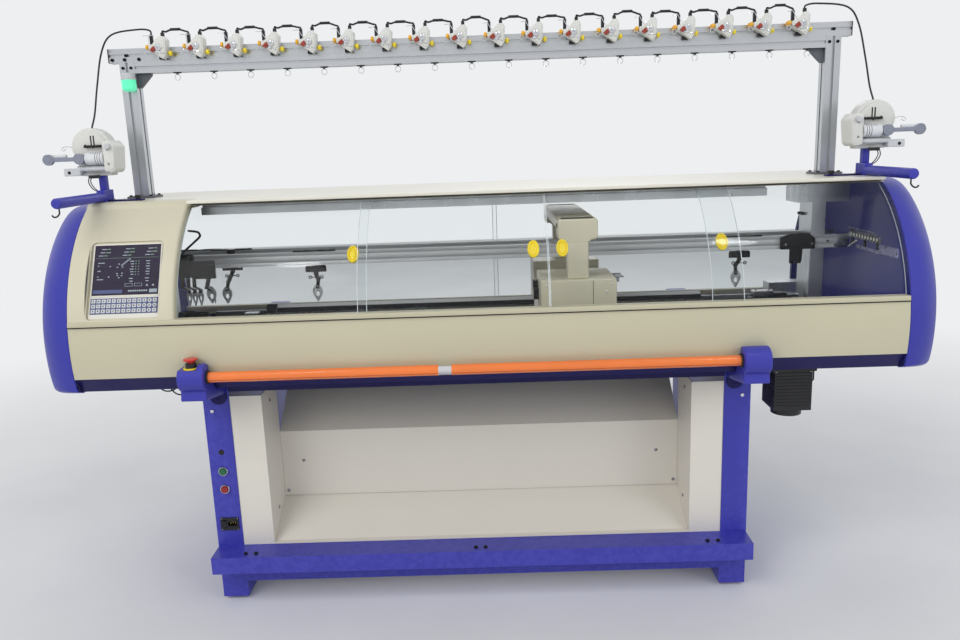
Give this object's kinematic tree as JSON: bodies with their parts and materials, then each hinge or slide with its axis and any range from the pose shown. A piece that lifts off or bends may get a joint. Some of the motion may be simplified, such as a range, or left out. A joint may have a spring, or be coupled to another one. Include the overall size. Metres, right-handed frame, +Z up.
{
  "type": "flat knitting machine",
  "caption": "Computerised flat knitting machine with sliding clear covers, a carriage over two needle beds, a yarn stand, side feeders and a pedestal base.",
  "frame": {"origin": "centre of the machine's outline on the floor", "axes": "+X to the viewer's right along the needle beds, -Y out of the operator's side, +Z up"},
  "size_m": [2.5, 1.014, 1.6919],
  "materials": {
    "blue_paint": "satin",
    "navy_paint": "satin",
    "beige_paint": "satin",
    "cream_paint": "satin",
    "clear_cover": "gloss",
    "aluminium_section": "satin",
    "machined_steel": "satin",
    "cast_frame": "satin",
    "orange_sleeve": "gloss",
    "black_plastic": "satin",
    "grey_plastic": "satin",
    "yellow_plastic": "gloss",
    "red_plastic": "gloss",
    "green_plastic": "gloss",
    "lamp_lens": "gloss",
    "screen_glass": "gloss",
    "keypad_film": "satin",
    "belt_rubber": "satin",
    "cable_sheath": "satin",
    "roller_rubber": "satin"
  },
  "bodies": {
    "frame": {"left_pedestal": "blue_paint", "right_pedestal": "blue_paint", "front_ledge_beam": "blue_paint", "cross_beams": "navy_paint", "levelling_feet": "black_plastic", "bay_side_panels": "cream_paint", "bay_back_panel": "cream_paint", "fabric_chute": "cream_paint", "control_fittings": "machined_steel", "emergency_stop_base": "yellow_plastic", "bar_brackets": "blue_paint", "left_end_cap": "blue_paint", "right_end_cap": "blue_paint", "head_tray": "navy_paint", "lower_covers": "beige_paint", "console_housing": "beige_paint", "display_screen": "screen_glass", "keypad": "keypad_film", "cover_tracks": "beige_paint", "top_board": "cream_paint", "inner_frame": "aluminium_section", "stand_posts": "aluminium_section", "top_rails": "aluminium_section", "tensioner_housings": "grey_plastic", "tensioner_knobs": "yellow_plastic", "yarn_guides": "machined_steel", "signal_lamp_base": "grey_plastic", "signal_lamp_dome": "lamp_lens", "machine_cables": "cable_sheath", "feeder_stands": "blue_paint", "feeder_housings": "grey_plastic", "yarn_rails": "machined_steel", "front_needle_bed": "machined_steel", "bed_frame": "cast_frame", "drive_belt": "belt_rubber", "drive_motor": "black_plastic"},
    "carriage": {"carriage_bridge": "beige_paint", "cam_boxes": "beige_paint"},
    "pulley": {"drive_pulley": "machined_steel"},
    "cover_1": {"front_cover_1": "clear_cover"},
    "cover_2": {"front_cover_2": "clear_cover"},
    "cover_3": {"front_cover_3": "clear_cover"},
    "cover_4": {"front_cover_4": "clear_cover"},
    "cover_rear_left": {"rear_cover_left": "clear_cover"},
    "cover_rear_right": {"rear_cover_right": "clear_cover"},
    "carrier_1": {"yarn_carrier_1": "black_plastic"},
    "carrier_2": {"yarn_carrier_2": "black_plastic"},
    "carrier_3": {"yarn_carrier_3": "black_plastic"},
    "carrier_4": {"yarn_carrier_4": "black_plastic"},
    "racking_bed": {"rear_needle_bed": "machined_steel"},
    "bar_front": {"front_operating_bar": "orange_sleeve"},
    "bar_rear": {"rear_operating_bar": "orange_sleeve"},
    "start": {"start_button": "green_plastic"},
    "stop": {"stop_button": "red_plastic"},
    "estop": {"emergency_stop_button": "red_plastic"},
    "switch": {"power_switch": "black_plastic"},
    "feed_left": {"left_feed_roller": "roller_rubber"},
    "feed_right": {"right_feed_roller": "roller_rubber"},
    "takedown_front": {"front_takedown_roller": "roller_rubber"},
    "takedown_rear": {"rear_takedown_roller": "roller_rubber"}
  },
  "joints": [
    {"name": "carriage_slide", "type": "slide", "parent": "frame", "child": "carriage", "axis": [1, 0, 0], "range_m": [-1.05, 0.53]},
    {"name": "pulley_turn", "type": "hinge", "parent": "frame", "child": "pulley", "pos_m": [0.852, -0.32, 0.722], "axis": [0, 0, 1], "range_deg": [-2100, 1100]},
    {"name": "front_cover_1_slide", "type": "slide", "parent": "frame", "child": "cover_1", "axis": [1, 0, 0], "range_m": [0, 0.43]},
    {"name": "front_cover_2_slide", "type": "slide", "parent": "frame", "child": "cover_2", "axis": [1, 0, 0], "range_m": [-0.43, 0]},
    {"name": "front_cover_3_slide", "type": "slide", "parent": "frame", "child": "cover_3", "axis": [1, 0, 0], "range_m": [0, 0.43]},
    {"name": "front_cover_4_slide", "type": "slide", "parent": "frame", "child": "cover_4", "axis": [1, 0, 0], "range_m": [-0.43, 0]},
    {"name": "rear_cover_left_slide", "type": "slide", "parent": "frame", "child": "cover_rear_left", "axis": [1, 0, 0], "range_m": [0, 1.07]},
    {"name": "rear_cover_right_slide", "type": "slide", "parent": "frame", "child": "cover_rear_right", "axis": [1, 0, 0], "range_m": [-1.14, 0]},
    {"name": "yarn_carrier_1_slide", "type": "slide", "parent": "frame", "child": "carrier_1", "axis": [1, 0, 0], "range_m": [-0.404, 0.658]},
    {"name": "yarn_carrier_2_slide", "type": "slide", "parent": "frame", "child": "carrier_2", "axis": [1, 0, 0], "range_m": [-0.114, 1.75]},
    {"name": "yarn_carrier_3_slide", "type": "slide", "parent": "frame", "child": "carrier_3", "axis": [1, 0, 0], "range_m": [-0.007, 1.845]},
    {"name": "yarn_carrier_4_slide", "type": "slide", "parent": "frame", "child": "carrier_4", "axis": [1, 0, 0], "range_m": [-0.517, 0.145]},
    {"name": "bed_racking", "type": "slide", "parent": "frame", "child": "racking_bed", "axis": [1, 0, 0], "range_m": [-0.025, 0.025]},
    {"name": "front_bar_twist", "type": "hinge", "parent": "frame", "child": "bar_front", "pos_m": [-0.038, -0.469, 0.738], "axis": [1, 0, 0], "range_deg": [-20, 40]},
    {"name": "rear_bar_twist", "type": "hinge", "parent": "frame", "child": "bar_rear", "pos_m": [-0.038, 0.469, 0.738], "axis": [1, 0, 0], "range_deg": [-40, 20]},
    {"name": "start_press", "type": "slide", "parent": "frame", "child": "start", "axis": [0, 1, 0], "range_m": [0, 0.004], "stiffness_N_per_m": 400},
    {"name": "stop_press", "type": "slide", "parent": "frame", "child": "stop", "axis": [0, 1, 0], "range_m": [0, 0.004], "stiffness_N_per_m": 400},
    {"name": "emergency_press", "type": "slide", "parent": "frame", "child": "estop", "axis": [0, 0, -1], "range_m": [0, 0.004], "stiffness_N_per_m": 1500},
    {"name": "power_rocker", "type": "hinge", "parent": "frame", "child": "switch", "pos_m": [-0.798, -0.3315, 0.247], "axis": [1, 0, 0], "range_deg": [-12, 0]},
    {"name": "left_feed_turn", "type": "hinge", "parent": "frame", "child": "feed_left", "pos_m": [-1.119, -0.202, 1.322], "axis": [1, 0, 0], "continuous": true},
    {"name": "right_feed_turn", "type": "hinge", "parent": "frame", "child": "feed_right", "pos_m": [1.119, -0.202, 1.322], "axis": [1, 0, 0], "continuous": true},
    {"name": "takedown_front_turn", "type": "hinge", "parent": "frame", "child": "takedown_front", "pos_m": [-0.038, -0.026, 0.66], "axis": [1, 0, 0], "continuous": true},
    {"name": "takedown_rear_turn", "type": "hinge", "parent": "frame", "child": "takedown_rear", "pos_m": [-0.038, 0.026, 0.66], "axis": [1, 0, 0], "continuous": true}
  ],
  "couplings": [
    {"joint": "pulley_turn", "follows": "carriage_slide", "rad_per_m": 33.3},
    {"joint": "takedown_rear_turn", "follows": "takedown_front_turn", "ratio": -1}
  ]
}
